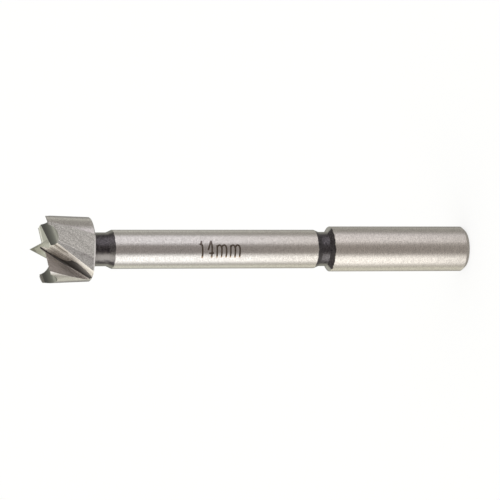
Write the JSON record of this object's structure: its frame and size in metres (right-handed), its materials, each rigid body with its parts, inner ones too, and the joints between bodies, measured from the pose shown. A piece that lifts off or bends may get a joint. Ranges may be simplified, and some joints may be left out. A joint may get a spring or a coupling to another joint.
{
  "type": "forstner bit",
  "caption": "Wood-boring bit with a centre point, rim spurs and cutting lips on a short head, a slim body and a plain round shank for a drill chuck.",
  "frame": {"origin": "centre of the flat end of the shank, on the bit's axis", "axes": "+Z along the axis from the shank's end towards the centre point; the bit cuts when turned about +Z by the right-hand rule"},
  "size_m": [0.014, 0.0118, 0.0948],
  "materials": {
    "tool_steel": "ground satin steel, with black oxide left in the necks"
  },
  "bodies": {
    "root": {"forstner_bit": "tool_steel"}
  },
  "joints": []
}
